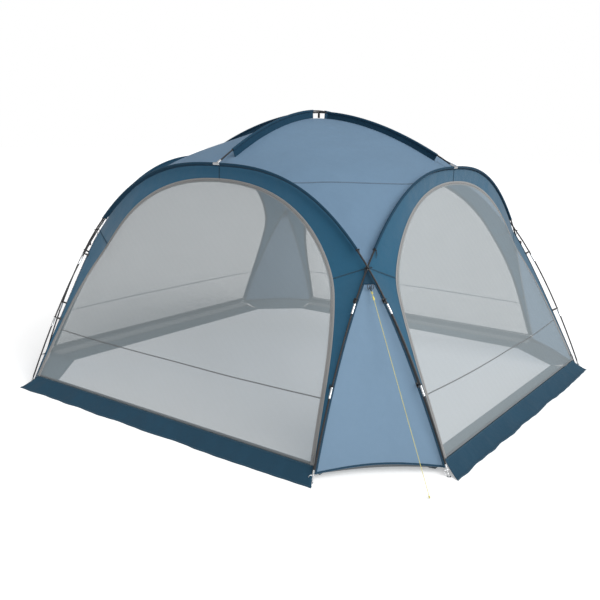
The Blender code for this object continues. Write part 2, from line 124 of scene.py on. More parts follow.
class Nodes:
    """A material's nodes, with short calls for the few kinds that these materials use."""

    def __init__(self, name):
        self.material = bpy.data.materials.new(name)
        self.material.use_nodes = True
        self.tree = self.material.node_tree
        self.shader = self.tree.nodes["Principled BSDF"]

    def node(self, kind, settings=None, **inputs):
        made = self.tree.nodes.new(kind)
        for key, value in (settings or {}).items():
            setattr(made, key, value)
        for key, value in inputs.items():
            self.feed(made.inputs[key.replace("_", " ")], value)
        return made

    def feed(self, socket, value):
        if isinstance(value, bpy.types.NodeSocket):
            self.tree.links.new(value, socket)
        else:
            socket.default_value = value

    def math(self, operation, a, b=0.0):
        made = self.node("ShaderNodeMath", {"operation": operation})
        self.feed(made.inputs[0], a)
        self.feed(made.inputs[1], b)
        return made.outputs[0]

    def mix(self, factor, a, b):
        made = self.node("ShaderNodeMix", {"data_type": "RGBA"})
        self.feed(made.inputs["Factor"], factor)
        self.feed(made.inputs["A"], a)
        self.feed(made.inputs["B"], b)
        return made.outputs["Result"]

    def remap(self, value, low, high):
        """Takes 0..1 to low..high."""
        made = self.node("ShaderNodeMapRange")
        self.feed(made.inputs["Value"], value)
        made.inputs["To Min"].default_value = low
        made.inputs["To Max"].default_value = high
        return made.outputs["Result"]

    def noise(self, place, scale, detail=3.0, roughness=0.55):
        made = self.node("ShaderNodeTexNoise", Scale=scale, Detail=detail, Roughness=roughness)
        self.feed(made.inputs["Vector"], place)
        return made.outputs["Fac"]

    def stripes(self, place, pitch, direction, distortion=0.0):
        """Even stripes of the given pitch in metres."""
        made = self.node("ShaderNodeTexWave", {"bands_direction": direction})
        made.inputs["Scale"].default_value = 2 * math.pi / 20 / pitch
        made.inputs["Distortion"].default_value = distortion
        self.feed(made.inputs["Vector"], place)
        return made.outputs["Fac"]

    def bump(self, height, distance, normal=None):
        made = self.node("ShaderNodeBump", Height=height, Distance=distance)
        if normal is not None:
            self.feed(made.inputs["Normal"], normal)
        return made.outputs["Normal"]

    def metres(self):
        """The cloth's own coordinates: metres along it and across it."""
        return self.node("ShaderNodeUVMap", {"uv_map": "cloth"}).outputs[0]

    def place(self):
        return self.node("ShaderNodeTexCoord").outputs["Object"]


def shade(colour, factor):
    return (*(min(c * factor, 1.0) for c in colour), 1.0)


def fabric(name, colour, pitch=0.0016, crease=0.0016, sheen=0.05, stitch=None, thin=0.0):
    """A plain weave. Stitch is the distance of two stitch rows from the middle of a strip, and thin is the
    share of the light that shines through from behind."""
    n = Nodes(name)
    cloth, place = n.metres(), n.place()
    weave = n.math("ADD", n.stripes(cloth, pitch, "X"), n.stripes(cloth, pitch, "Y"))
    broad = n.noise(place, 1.7, 2.0)
    fine = n.noise(place, 26.0, 4.0)
    tone = n.mix(n.remap(broad, 0.0, 1.0), shade(colour, 0.93), shade(colour, 1.07))
    tone = n.mix(n.remap(fine, 0.0, 0.35), tone, shade(colour, 0.86))
    tone = n.mix(n.math("MULTIPLY", weave, 0.05), tone, shade(colour, 1.35))
    height = n.math("MULTIPLY", weave, 0.12)
    if stitch is not None:
        thread = stitch_mask(n, cloth, stitch)
        tone = n.mix(n.math("MULTIPLY", thread, 0.55), tone, shade([c + 0.10 for c in colour], 1.0))
        height = n.math("ADD", height, thread)
    n.feed(n.shader.inputs["Base Color"], tone)
    n.feed(n.shader.inputs["Roughness"], n.remap(fine, 0.65, 0.79))
    folds = n.bump(n.noise(place, 5.5, 3.0, 0.45), crease * 6)
    n.feed(n.shader.inputs["Normal"], n.bump(height, 0.0003, folds))
    n.shader.inputs["Sheen Weight"].default_value = sheen
    n.shader.inputs["Sheen Roughness"].default_value = 0.5
    n.shader.inputs["Specular IOR Level"].default_value = 0.25
    if thin:
        behind = n.node("ShaderNodeBsdfTranslucent", Color=tone)
        both = n.node("ShaderNodeMixShader", Fac=thin)
        n.tree.links.new(n.shader.outputs[0], both.inputs[1])
        n.tree.links.new(behind.outputs[0], both.inputs[2])
        n.tree.links.new(both.outputs[0], n.tree.nodes["Material Output"].inputs["Surface"])
    return n.material


def stitch_mask(n, cloth, offset):
    """1 on the stitches of two rows, at offset on either side of a strip's middle line."""
    split = n.node("ShaderNodeSeparateXYZ")
    n.feed(split.inputs[0], cloth)
    across = n.math("ABSOLUTE", split.outputs["Y"])
    row = n.math("LESS_THAN", n.math("ABSOLUTE", n.math("SUBTRACT", across, offset)), 0.0007)
    dash = n.math("LESS_THAN", n.math("FRACT", n.math("DIVIDE", split.outputs["X"], STITCH_LENGTH)), 0.68)
    return n.math("MULTIPLY", row, dash)


def netting_material(name, colour, alpha):
    """Fine insect netting: an even see-through film with the mesh's threads in its colour and relief, and faint
    diagonal streaks of painted sheen.
    """
    n = Nodes(name)
    cloth, place = n.metres(), n.place()
    threads = n.math("MAXIMUM", n.stripes(cloth, 0.0022, "X"), n.stripes(cloth, 0.0022, "Y"))
    # Painted sheen: faint diagonal streaks, slightly darker and rougher, stand in for the sheen lines that show
    # on netting.
    painted_sheen_streaks = n.stripes(place, 0.034, "DIAGONAL", 3.0)
    tone = n.mix(n.remap(n.noise(place, 1.3, 2.0), 0.0, 1.0), shade(colour, 0.94), shade(colour, 1.06))
    tone = n.mix(n.math("MULTIPLY", threads, 0.18), tone, shade(colour, 1.35))
    tone = n.mix(n.math("MULTIPLY", painted_sheen_streaks, 0.02), tone, shade(colour, 0.7))
    n.feed(n.shader.inputs["Base Color"], tone)
    n.feed(n.shader.inputs["Roughness"], n.remap(painted_sheen_streaks, 0.78, 0.9))
    n.feed(n.shader.inputs["Normal"], n.bump(threads, 0.0002))
    n.shader.inputs["Alpha"].default_value = alpha
    n.shader.inputs["Specular IOR Level"].default_value = 0.1
    return n.material


def tube_material(name, colour, roughness, metallic, wear):
    """A drawn and coated tube: faint lines along it and small rubbed spots."""
    n = Nodes(name)
    place = n.place()
    spots = n.noise(place, 55.0, 5.0, 0.7)
    lines = n.noise(place, 9.0, 6.0, 0.8)
    rubbed = n.math("GREATER_THAN", spots, 0.66)
    tone = n.mix(n.remap(lines, 0.0, 0.6), shade(colour, 1.0), shade(colour, 0.72))
    tone = n.mix(n.math("MULTIPLY", rubbed, wear), tone, shade([c + 0.10 for c in colour], 1.0))
    n.feed(n.shader.inputs["Base Color"], tone)
    n.feed(n.shader.inputs["Roughness"], n.remap(spots, roughness - 0.1, roughness + 0.15))
    n.feed(n.shader.inputs["Normal"], n.bump(lines, 0.0002))
    n.shader.inputs["Metallic"].default_value = metallic
    return n.material


def ribbed_material(name, colour, roughness, pitch):
    """Webbing, cord or zip coil: ribs across the piece."""
    n = Nodes(name)
    cloth, place = n.metres(), n.place()
    ribs = n.stripes(cloth, pitch, "X")
    tone = n.mix(ribs, shade(colour, 0.55), shade(colour, 1.15))
    tone = n.mix(n.remap(n.noise(place, 30.0), 0.0, 0.3), tone, shade(colour, 0.7))
    n.feed(n.shader.inputs["Base Color"], tone)
    n.feed(n.shader.inputs["Roughness"], n.remap(ribs, roughness - 0.06, roughness + 0.08))
    n.feed(n.shader.inputs["Normal"], n.bump(ribs, pitch * 0.2))
    return n.material


def braided_material(name, colour, pitch):
    """A thin braided cord, with its strands slanting both ways and a darker fleck."""
    n = Nodes(name)
    place = n.place()
    strands = n.stripes(place, pitch, "DIAGONAL", 1.5)
    fleck = n.noise(place, 420.0, 2.0)
    tone = n.mix(strands, shade(colour, 0.72), shade(colour, 1.1))
    tone = n.mix(n.remap(fleck, 0.0, 0.5), tone, shade(colour, 0.6))
    n.feed(n.shader.inputs["Base Color"], tone)
    n.feed(n.shader.inputs["Roughness"], n.remap(fleck, 0.55, 0.75))
    n.feed(n.shader.inputs["Normal"], n.bump(strands, pitch * 0.25))
    return n.material


LIGHT_BLUE = (0.138, 0.216, 0.304)
# Painted light: the corner panels are the canopy's light blue cloth, drawn lighter to paint in the light that
# falls on them.
PANEL_BLUE_WITH_PAINTED_LIGHT = (0.155, 0.236, 0.324)
DARK_BLUE = (0.014, 0.085, 0.150)
SKIRT_BLUE = (0.011, 0.050, 0.088)
SLEEVE_BLUE = (0.004, 0.038, 0.074)
FLAP_BLUE = (0.225, 0.295, 0.330)
THIN = 0.45  # share of the light that comes through the canopy, the panels and the bands
THIN_GAIN = 1.62  # their colours are raised by this, so that they look as bright as a thick cloth does


def thin_fabric(name, colour, crease, sheen=0.05):
    return fabric(name, [c * THIN_GAIN for c in colour], crease=crease, sheen=sheen, thin=THIN)


MATERIALS = {
    "canopy": thin_fabric("canopy cloth", LIGHT_BLUE, 0.0022),
    # the panel cloth is the canopy cloth with its colour lightened as painted light
    "panel": thin_fabric("panel cloth painted lighter", PANEL_BLUE_WITH_PAINTED_LIGHT, 0.0014),
    "canopy_seam": fabric("canopy seam", [c * 0.72 for c in LIGHT_BLUE], stitch=0.004),
    "band": thin_fabric("band cloth", DARK_BLUE, 0.0018, sheen=0.7),
    "band_seam": fabric("band seam", [c * 0.6 for c in DARK_BLUE], stitch=0.003),
    "skirt": fabric("skirt cloth", SKIRT_BLUE, crease=0.0030),
    "ground_flap": fabric("ground flap cloth", FLAP_BLUE, crease=0.0030),
    "binding": fabric("binding tape", SLEEVE_BLUE, pitch=0.0012, stitch=0.004),
    "sleeve": fabric("sleeve cloth", SLEEVE_BLUE, crease=0.0030),
    "netting": netting_material("insect netting", (0.292, 0.330, 0.345), 0.55),
    "net_hem": fabric("netting hem", (0.15, 0.165, 0.175), pitch=0.0012, stitch=0.004),
    "net_seam": fabric("netting seam", (0.13, 0.14, 0.145), pitch=0.0012, stitch=0.002),
    "zip_tape": fabric("zip tape", (0.26, 0.262, 0.26), pitch=0.0010, crease=0.0005, stitch=0.0045),
    "zip_teeth": ribbed_material("zip coil", (0.27, 0.27, 0.27), 0.45, 0.0018),
    "webbing": ribbed_material("black webbing", (0.022, 0.022, 0.024), 0.75, 0.0016),
    "grey_webbing": ribbed_material("grey webbing", (0.12, 0.12, 0.13), 0.75, 0.0016),
    "black_clip": tube_material("black clip", (0.012, 0.012, 0.013), 0.40, 0.0, 0.2),
    "pole": tube_material("black coated pole", (0.017, 0.017, 0.019), 0.38, 0.0, 0.35),
    "silver": tube_material("drawn aluminium", (0.78, 0.79, 0.80), 0.26, 1.0, 0.1),
    "zip_metal": tube_material("zip hardware", (0.30, 0.31, 0.32), 0.38, 0.8, 0.3),
    "cord": braided_material("yellow cord", (0.90, 0.79, 0.18), 0.0030),
}


# Mesh makers


def mesh_from(bm, smooth_shaded=True):
    data = bpy.data.meshes.new("piece")
    bm.to_mesh(data)
    bm.free()
    if smooth_shaded:
        data.shade_smooth()
    return data


def grid(columns, rows, place, size):
    """An open sheet whose points go to place(u, v), with its cloth coordinates in metres."""
    bm = bmesh.new()
    bmesh.ops.create_grid(bm, x_segments=columns, y_segments=rows, size=1.0)
    uv = bm.loops.layers.uv.new("cloth")
    for face in bm.faces:
        for loop in face.loops:
            at = loop.vert.co
            loop[uv].uv = ((at.x + 1) / 2 * size[0], (at.y + 1) / 2 * size[1])
    for vertex in bm.verts:
        vertex.co = place((vertex.co.x + 1) / 2, (vertex.co.y + 1) / 2)
    return mesh_from(bm)


def sweep(path, ups, section, closed=False):
    """A solid of the given section, (across, up) points in order, carried along a path. It has end caps."""
    bm = bmesh.new()
    uv = bm.loops.layers.uv.new("cloth")
    count, sides = len(path), len(section)
    rings, lengths, length = [], [], 0.0
    for i, point in enumerate(path):
        before = path[i - 1] if i or closed else point
        after = path[(i + 1) % count] if i < count - 1 or closed else point
        along_it = (after - before).normalized()
        across = along_it.cross(ups[i]).normalized()
        up = across.cross(along_it).normalized()
        length += (point - path[i - 1]).length if i else 0.0
        lengths.append(length)
        rings.append([bm.verts.new(point + across * a + up * h) for a, h in section])
    for i in range(count if closed else count - 1):
        j = (i + 1) % count
        for k in range(sides):
            m = (k + 1) % sides
            face = bm.faces.new((rings[i][k], rings[i][m], rings[j][m], rings[j][k]))
            marks = ((lengths[i], k), (lengths[i], m), (lengths[j], m), (lengths[j], k))
            for loop, (far, index) in zip(face.loops, marks):
                loop[uv].uv = (far, section[index][0])
    if not closed:
        bm.faces.new(list(reversed(rings[0])))
        bm.faces.new(rings[-1])
    bmesh.ops.recalc_face_normals(bm, faces=bm.faces)
    data = mesh_from(bm)
    data.set_sharp_from_angle(angle=math.radians(50))
    return data


def flat_section(width, thick):
    """A tape's section: flat, with its long edges eased."""
    w, t = width / 2, thick / 2
    e = min(t, w) * 0.6
    under = [(-w, -t + e), (-w + e, -t), (w - e, -t), (w, -t + e)]
    return under + [(w, t - e), (w - e, t), (-w + e, t), (-w, t - e)]


def round_section(radius, sides):
    turns = [2 * math.pi * k / sides for k in range(sides)]
    return [(radius * math.cos(a), radius * math.sin(a)) for a in turns]


def sleeve_section(radius, web):
    """Cloth round a pole, sewn to a web that hangs from it."""
    half = CLOTH_THICKNESS
    start = math.asin(half / radius)
    angles = [-math.pi / 2 + start + (2 * math.pi - 2 * start) * k / 14 for k in range(15)]
    loop = [(radius * math.cos(a), radius * math.sin(a)) for a in angles]
    return loop + [(-half, -web), (half, -web)]


def joined(meshes):
    """Several meshes as one."""
    bm = bmesh.new()
    for data in meshes:
        bm.from_mesh(data)
    made = mesh_from(bm, smooth_shaded=False)
    for data in meshes:
        bpy.data.meshes.remove(data)
    return made


def piece(name, data, finish, slot, thickness=0.0, body="shelter", side=0, replaces=()):
    """A finished piece on its body, turned to its side. An open sheet may get its cloth's thickness."""
    copy = data.copy()
    copy.transform(turn(side))
    copy.materials.clear()
    copy.materials.append(MATERIALS[finish])
    made = bpy.data.objects.new(name, copy)
    bpy.context.scene.collection.objects.link(made)
    if thickness:
        solidify = made.modifiers.new("cloth thickness", "SOLIDIFY")
        solidify.thickness = thickness
        solidify.offset = 0.0
    if body:
        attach(made, body)
    if replaces:
        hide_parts(*replaces)
    return made


def all_round(names, ending, data, finish, slot, thickness=0.0, replaces=None):
    """The same piece four times, each turned by a further quarter and riding on the shelter."""
    made = []
    for side, name in enumerate(names):
        stood_for = [f"{name}_{replaces}"] if replaces else []
        made.append(piece(f"{name}_{ending}", data, finish, slot, thickness, side=side, replaces=stood_for))
    return made


on_sides = partial(all_round, SIDES)
on_corners = partial(all_round, CORNERS)


# Curves of the frame, all for the front wall


def arch_point(x, shift=0.0):
    z = ARCH_HEIGHT * (1 - abs(x / FOOT_REACH) ** ARCH_POWER)
    return Vector((x, -(WALL_REACH + shift - ARCH_LEAN * z), z))


def arch_shift(side):
    return CROSSING_SHIFT if side % 2 == 0 else -CROSSING_SHIFT


def leg_width(z):
    return FOOT_REACH * max(1 - z / ARCH_HEIGHT, 0.0) ** (1 / ARCH_POWER)


def along(points):
    """A function from 0..1 to the place that far along a line of points, by length."""
    line = np.array([tuple(point) for point in points])
    lengths = np.concatenate([[0], np.cumsum(np.linalg.norm(np.diff(line, axis=0), axis=1))])

    def place(share):
        at = share * lengths[-1]
        return Vector([float(np.interp(at, lengths, line[:, axis])) for axis in range(3)])

    place.length = float(lengths[-1])
    return place


def crossing():
    low, high = 1.0, FOOT_REACH
    for _ in range(60):
        x = (low + high) / 2
        low, high = (x, high) if x < -arch_point(x).y else (low, x)
    return x, arch_point(x).z


CROSS_X, CROSS_Z = crossing()


def inset(point, distance=FABRIC_INSET):
    return point + (SHELL_HEART - point).normalized() * distance


def neighbour_leg(z):
    return Vector((WALL_REACH - ARCH_LEAN * z, -leg_width(z), z))


def leg_inset(z):
    """Distance from a bare leg to the taut edge of the cloth, which runs straighter than the leg."""
    return FABRIC_INSET + LEG_SLACK * math.sin(math.pi * min(z / CROSS_Z, 1))


def beside_leg(point):
    return inset(point, leg_inset(point.z))


def wall_edge_half():
    leg = [beside_leg(neighbour_leg(z)) for z in steps(HEM_HEIGHT, CROSS_Z, 60)]
    return leg + [inset(arch_point(x)) for x in steps(CROSS_X, 0.0, 60)[1:]]


def bezier(a, b, c, d, t):
    return (1 - t) ** 3 * a + 3 * (1 - t) ** 2 * t * b + 3 * (1 - t) * t**2 * c + t**3 * d


def zip_depth(z):
    low, high = -beside_leg(neighbour_leg(z)).y, ZIP_TOP_Y + ZIP_TOP_SLOPE * (ZIP_TOP - z)
    return (low + high + math.hypot(low - high, ZIP_BLEND)) / 2


def zip_half():
    foot, knee = Vector((ZIP_FOOT_X, HEM_HEIGHT)), Vector(ZIP_STRAIGHT_TOP)
    rise = (knee - foot) / (knee - foot).y * ZIP_RISE
    top, shoulder = Vector((0.0, ZIP_TOP)), Vector((ZIP_SHOULDER, ZIP_TOP))
    straight = [foot.lerp(knee, t) for t in steps(0, 1, 20)]
    round_part = [bezier(knee, knee + rise, shoulder, top, t) for t in steps(0, 1, 80)[1:]]
    return [Vector((p.x, -zip_depth(p.y), p.y)) for p in straight + round_part]


def mirrored(half):
    return half + [Vector((-p.x, p.y, p.z)) for p in reversed(half[:-1])]


ZIP_LINE = along(mirrored(zip_half()))
EDGE_LINE = along(mirrored(wall_edge_half()))


def coons(u, v, low, high, left, right):
    across = low(u) * (1 - v) + high(u) * v
    up = left(v) * (1 - u) + right(v) * u
    corners = (low(0) * (1 - u) + low(1) * u) * (1 - v) + (high(0) * (1 - u) + high(1) * u) * v
    return across + up - corners


def roof_point(t, reach, rise):
    z = ARCH_HEIGHT + (PEAK_HEIGHT - ARCH_HEIGHT) * (1 - abs(t) ** ROOF_POWER)
    return Vector((0.0, t * reach, z + rise * (1 - t * t)))


def apex_reach(shift=0.0):
    return -arch_point(0.0, shift).y


# Camera, floor and light


AMBIENT = 0.42
KEY_LIGHT = 2.9
KEY_DIRECTION = Vector((1.0, -0.25, 0.75))
FLOOR_GLOW = 0.35
FLOOR_SIZE = 120


def camera():
    """The view of the reference picture: from the front right, a little above the shelter's shoulder."""
    yaw, pitch, roll = math.radians(35.37), math.radians(12.59), math.radians(1.33)
    back = Vector((math.sin(yaw) * math.cos(pitch), -math.cos(yaw) * math.cos(pitch), math.sin(pitch)))
    right = Vector((math.cos(yaw), math.sin(yaw), 0.0))
    up = back.cross(right)
    tilted_right = right * math.cos(roll) + up * math.sin(roll)
    tilted_up = up * math.cos(roll) - right * math.sin(roll)
    data = bpy.data.cameras.new("camera")
    data.sensor_width, data.lens = 36.0, 45.08
    made = bpy.data.objects.new("camera", data)
    made.matrix_world = Matrix((tilted_right, tilted_up, back)).transposed().to_4x4()
    made.location = (3.710, -5.4405, 2.051)
    bpy.context.scene.collection.objects.link(made)
    bpy.context.scene.camera = made


def studio():
    """A white room, a white floor and one large soft light from the right."""
    bpy.context.scene.view_settings.view_transform = "Standard"
    world = bpy.data.worlds.new("studio")
    world.use_nodes = True
    tree = world.node_tree
    seen = tree.nodes.new("ShaderNodeLightPath").outputs["Is Camera Ray"]
    strength = tree.nodes.new("ShaderNodeMapRange")
    tree.links.new(seen, strength.inputs["Value"])
    strength.inputs["To Min"].default_value = AMBIENT
    strength.inputs["To Max"].default_value = 1.0
    tree.nodes["Background"].inputs["Color"].default_value = (1.0, 1.0, 1.0, 1.0)
    tree.links.new(strength.outputs["Result"], tree.nodes["Background"].inputs["Strength"])
    bpy.context.scene.world = world
    sun = bpy.data.lights.new("soft key", "SUN")
    sun.energy, sun.angle = KEY_LIGHT, math.radians(50)
    key = bpy.data.objects.new("soft key", sun)
    key.rotation_mode = "QUATERNION"
    key.rotation_quaternion = KEY_DIRECTION.to_track_quat("Z", "Y")
    bpy.context.scene.collection.objects.link(key)
    ground = grid(1, 1, lambda u, v: Vector((u - 0.5, v - 0.5, 0)) * FLOOR_SIZE, (1, 1))
    floor = bpy.data.objects.new("floor", ground)
    n = Nodes("floor")
    tone = n.mix(n.noise(n.place(), 0.8), (0.84, 0.84, 0.84, 1.0), (0.86, 0.86, 0.86, 1.0))
    n.feed(n.shader.inputs["Base Color"], tone)
    n.shader.inputs["Roughness"].default_value = 0.9
    n.shader.inputs["Specular IOR Level"].default_value = 0.0
    n.shader.inputs["Emission Color"].default_value = (1.0, 1.0, 1.0, 1.0)
    glow = n.math("MULTIPLY", n.node("ShaderNodeLightPath").outputs["Is Camera Ray"], FLOOR_GLOW)
    n.feed(n.shader.inputs["Emission Strength"], glow)
    floor.data.materials.append(n.material)
    bpy.context.scene.collection.objects.link(floor)


# Guyline


def knot(at, size, direction, side_way):
    """A small overhand knot: a cord that winds three times round itself."""
    points, ups = [], []
    for t in steps(0, 1, 40):
        angle = t * 6 * math.pi
        radius = size * 0.32
        offset = side_way * math.cos(angle) * radius + direction.cross(side_way) * math.sin(angle) * radius
        points.append(at + direction * size * (t - 0.5) + offset)
        ups.append(offset.normalized())
    return sweep(points, ups, round_section(GUY_RADIUS * 1.15, 8))


def guyline():
    down = (GUY_END - GUY_START).normalized()
    across = down.cross(Vector((0, 0, 1))).normalized()
    curve = bpy.data.curves.new("guyline_cord", "CURVE")
    curve.dimensions = "3D"
    curve.bevel_depth = GUY_RADIUS
    curve.bevel_resolution = 3
    curve.use_fill_caps = True
    spline = curve.splines.new("POLY")
    spline.points.add(GUY_POINTS - 1)
    for point, t in zip(spline.points, steps(0, 1, GUY_POINTS)):
        point.co = (*GUY_START.lerp(GUY_END, t), 1.0)
    curve.materials.append(MATERIALS["cord"])
    line = bpy.data.objects.new("guyline_cord", curve)
    bpy.context.scene.collection.objects.link(line)
    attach(line, "shelter")
    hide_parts("guyline")
    upper = knot(GUY_START + down * 0.006, 0.016, down, across)
    lower = knot(GUY_END - down * 0.012, 0.012, down, across)
    top = piece("guyline_top_knot", upper, "cord", "yellow_cord")
    end = piece("guyline_end_knot", lower, "cord", "yellow_cord")


# Roof


def ridge_height(share):
    reach = apex_reach() - FABRIC_INSET
    eased = min((1 - share) * reach / RIDGE_DROP_RUN, 1.0)
    drop = RIDGE_DROP_END + (RIDGE_DROP - RIDGE_DROP_END) * math.sin(eased * math.pi / 2)
    return roof_point(share, reach, 0.0).z - drop


def arch_edge_height(share):
    return inset(arch_point(share * CROSS_X), FABRIC_INSET + EDGE_GAP).z


def canopy_height(a, b):
    ridge, edge = ridge_height, arch_edge_height
    across = (1 - b) * ridge(a) + b * edge(a) + (1 - a) * ridge(b) + a * edge(b)
    corners = (1 - a) * (1 - b) * ridge(0) + (a + b - 2 * a * b) * edge(0) + a * b * edge(1)
    return across - corners - CANOPY_SAG * 16 * a * (1 - a) * b * (1 - b)


GUTTER_DEPTH = 0.022
GUTTER_AT = 0.055


def gutter(distance):
    """The canopy dips beside an arch before it rises to the sleeve."""
    share = distance / GUTTER_AT
    return GUTTER_DEPTH * share * math.exp(1 - share)


def canopy_point(u, v):
    x, y = 2 * u - 1, 2 * v - 1
    a, b = abs(x), abs(y)
    along_x, along_y = arch_point(a * CROSS_X), arch_point(b * CROSS_X)
    reach_y = -inset(along_x, FABRIC_INSET + EDGE_GAP).y
    reach_x = -inset(along_y, FABRIC_INSET + EDGE_GAP).y
    top = canopy_height(a, b)
    inner = smooth(a / 0.25) * smooth(b / 0.25) * smooth((1 - a) * 6) * smooth((1 - b) * 6)
    top -= gutter((1 - a) * reach_x) * smooth(b / 0.3) + gutter((1 - b) * reach_y) * smooth(a / 0.3)
    ripple = noise.noise(Vector((x * 3.1, y * 3.1, 4.0))) * 0.006
    return Vector((x * reach_x, y * reach_y, top + ripple * inner))


def surface_normal(place, u, v):
    """The outward normal of a sheet at u, v."""
    step = 0.004
    lower_u, upper_u = max(u - step, 0.0), min(u + step, 1.0)
    lower_v, upper_v = max(v - step, 0.0), min(v + step, 1.0)
    side = place(upper_u, v) - place(lower_u, v)
    other = place(u, upper_v) - place(u, lower_v)
    normal = side.cross(other).normalized()
    return normal if normal.dot(place(u, v) - SHELL_HEART) > 0 else -normal


def seam_on(place, route, width, proud, thick=0.0014):
    """A flat seam that follows a route of (u, v) points on a sheet."""
    ups = [surface_normal(place, u, v) for u, v in route]
    path = [place(u, v) + up * proud for (u, v), up in zip(route, ups)]
    return sweep(path, ups, flat_section(width, thick))


def canopy():
    data = grid(120, 120, canopy_point, (3.1, 3.1))
    cloth = piece("roof_canopy_cloth", data, "canopy", "light_blue_canopy", replaces=["roof_canopy"])
    at = 0.5 + ROOF_SEAM_AT / 2
    start, end = Vector((at, 0.0)), Vector((1.0, 1.0 - at))
    handle = Vector(ROOF_SEAM_MIDDLE) * 2 - (start + end) / 2
    route = []
    for t in steps(0.004, 0.996, 50):
        route.append(tuple(start * (1 - t) ** 2 + handle * 2 * t * (1 - t) + end * t**2))
    data = seam_on(canopy_point, route, 0.012, 0.0014)
    on_corners("canopy_seam", data, "canopy_seam", "light_blue_canopy")


def roof_sleeves():
    """Cloth sleeves round the roof poles, with a web down to the canopy. The ends of each pole stay bare."""
    for side, name in enumerate(SIDES):
        rise = (POLE_RADIUS + 0.0003) * (1 if side % 2 == 0 else -1)
        reach = apex_reach(arch_shift(side))
        path, ups, webs = [], [], []
        for d in steps(ROOF_SLEEVE_RUN[0], ROOF_SLEEVE_RUN[1], 56):
            t = -d / reach
            point = roof_point(t, reach, rise)
            share = min(d / (apex_reach() - FABRIC_INSET), 1.0)
            path.append(point)
            ups.append(Vector((0, 0, 1)))
            webs.append(point.z - ridge_height(share) - 0.001)
        data = web_sleeve(path, ups, webs, SLEEVE_RADIUS, 0.0035)
        piece(f"{name}_roof_sleeve", data, "sleeve", "dark_blue_fabric", side=side)


def web_sleeve(path, ups, webs, radius, ripple):
    """A sleeve whose web has its own depth at each point of the path, and small ripples in its lower edge."""
    section = sleeve_section(radius, 1.0)
    data = sweep(path, ups, section)
    sides = len(section)
    for i, point in enumerate(path):
        before, after = path[max(i - 1, 0)], path[min(i + 1, len(path) - 1)]
        across = (after - before).normalized().cross(ups[i]).normalized()
        up = across.cross((after - before).normalized()).normalized()
        sway = across * ripple * noise.noise(Vector((i * 0.31, radius * 900, 2.0)))
        for k in (sides - 2, sides - 1):
            vertex = data.vertices[i * sides + k]
            vertex.co += up * (1.0 - webs[i]) + sway
    return data


def arch_sleeves():
    """Cloth sleeves round the arches between the crossings."""
    for side, name in enumerate(SIDES):
        path = [arch_point(x, arch_shift(side)) for x in steps(-SLEEVE_REACH, SLEEVE_REACH, 110)]
        ups = [-(SHELL_HEART - p).normalized() for p in path]
        webs = [FABRIC_INSET + EDGE_GAP * 0.5] * len(path)
        data = web_sleeve(path, ups, webs, SLEEVE_RADIUS * 0.94, 0.001)
        piece(f"{name}_arch_sleeve", data, "sleeve", "dark_blue_fabric", side=side)


# Walls


def band_point(u, v):
    """The band from the zip line, v = 0, to the poles, v = 1. It puckers near the crossings."""
    point = ZIP_LINE(u).lerp(EDGE_LINE(u), v)
    aside, above = (abs(point.x) - CROSS_X) / 0.22, (point.z - CROSS_Z) / 0.35
    near = math.exp(-aside * aside - above * above)
    pucker = 0.0022 * near * smooth((v - 0.25) / 0.6) * (1 - smooth((v - 0.9) / 0.1)) * math.sin(u * 900)
    ripple = 0.004 * noise.noise(Vector((u * 26, v * 1.5, 7.0))) * math.sin(math.pi * v)
    return point + (point - SHELL_HEART).normalized() * (pucker + ripple)


def lines_across_band():
    """Paths of the band's three seams, from the zip to the poles, with their outward directions: one at the
    top of the arch and one at each crossing."""
    leg = along([p for p in wall_edge_half() if p.z <= CROSS_Z and p.x >= CROSS_X - 0.03])
    edge_at = leg.length / EDGE_LINE.length
    zip_at = min(steps(0.05, 0.45, 200), key=lambda u: abs(ZIP_LINE(u).z - SEAM_FOOT))
    routes = []
    for zip_share, edge_share in ((0.5, 0.5), (zip_at, edge_at), (1 - zip_at, 1 - edge_at)):
        start, end = ZIP_LINE(zip_share), EDGE_LINE(edge_share)
        normal = surface_normal(band_point, (zip_share + edge_share) / 2, 0.5)
        path = [start.lerp(end, t) + normal * 0.002 for t in steps(0.0, 1.0, 14)]
        routes.append((path, [normal] * len(path)))
    return routes


def band():
    data = grid(300, 12, band_point, (ZIP_LINE.length, 0.2))
    for cloth in on_sides("arch_band_cloth", data, "band", "dark_blue_fabric", replaces="arch_band"):
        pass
    seams = [sweep(path, ups, flat_section(0.010, 0.0016)) for path, ups in lines_across_band()]
    on_sides("band_seams", joined(seams), "band_seam", "dark_blue_fabric")


def net_edges():
    """The four edges of the netting: the hem, the two sides and the top of the zip line."""
    half = zip_half()
    split = int(len(half) * NET_SIDE_SHARE)
    right = along(half[: split + 1])
    left = along([Vector((-p.x, p.y, p.z)) for p in half[: split + 1]])
    top = along([Vector((-p.x, p.y, p.z)) for p in half[split:]] + list(reversed(half[split:-1])))
    foot = half[0]
    hem = along([Vector((-foot.x, foot.y, foot.z)), foot])
    return hem, top, left, right


NET_EDGES = net_edges()


def net_point(u, v):
    """The netting, with a slight slack that fades at its edges."""
    point = coons(u, v, *NET_EDGES)
    slack = math.sin(math.pi * u) * math.sin(math.pi * v)
    return point + Vector((0, -1, 0)) * 0.014 * slack * noise.noise(Vector((u * 5, v * 4, 1.0)))


def across_the_fold():
    """Two points on either side of the door's fold line, which runs from the hem to the zip's knee."""
    half = zip_half()
    foot, knee = half[0], min(half, key=lambda p: abs(p.z - ZIP_STRAIGHT_TOP[1]))
    hem = Vector((FOLD_HEM_X, foot.y, HEM_HEIGHT))
    direction = (knee - hem).normalized()
    away = (foot - hem) - direction * (foot - hem).dot(direction)
    away.normalize()
    return hem - away * FOLD_REACH * 0.2, hem + away * FOLD_REACH


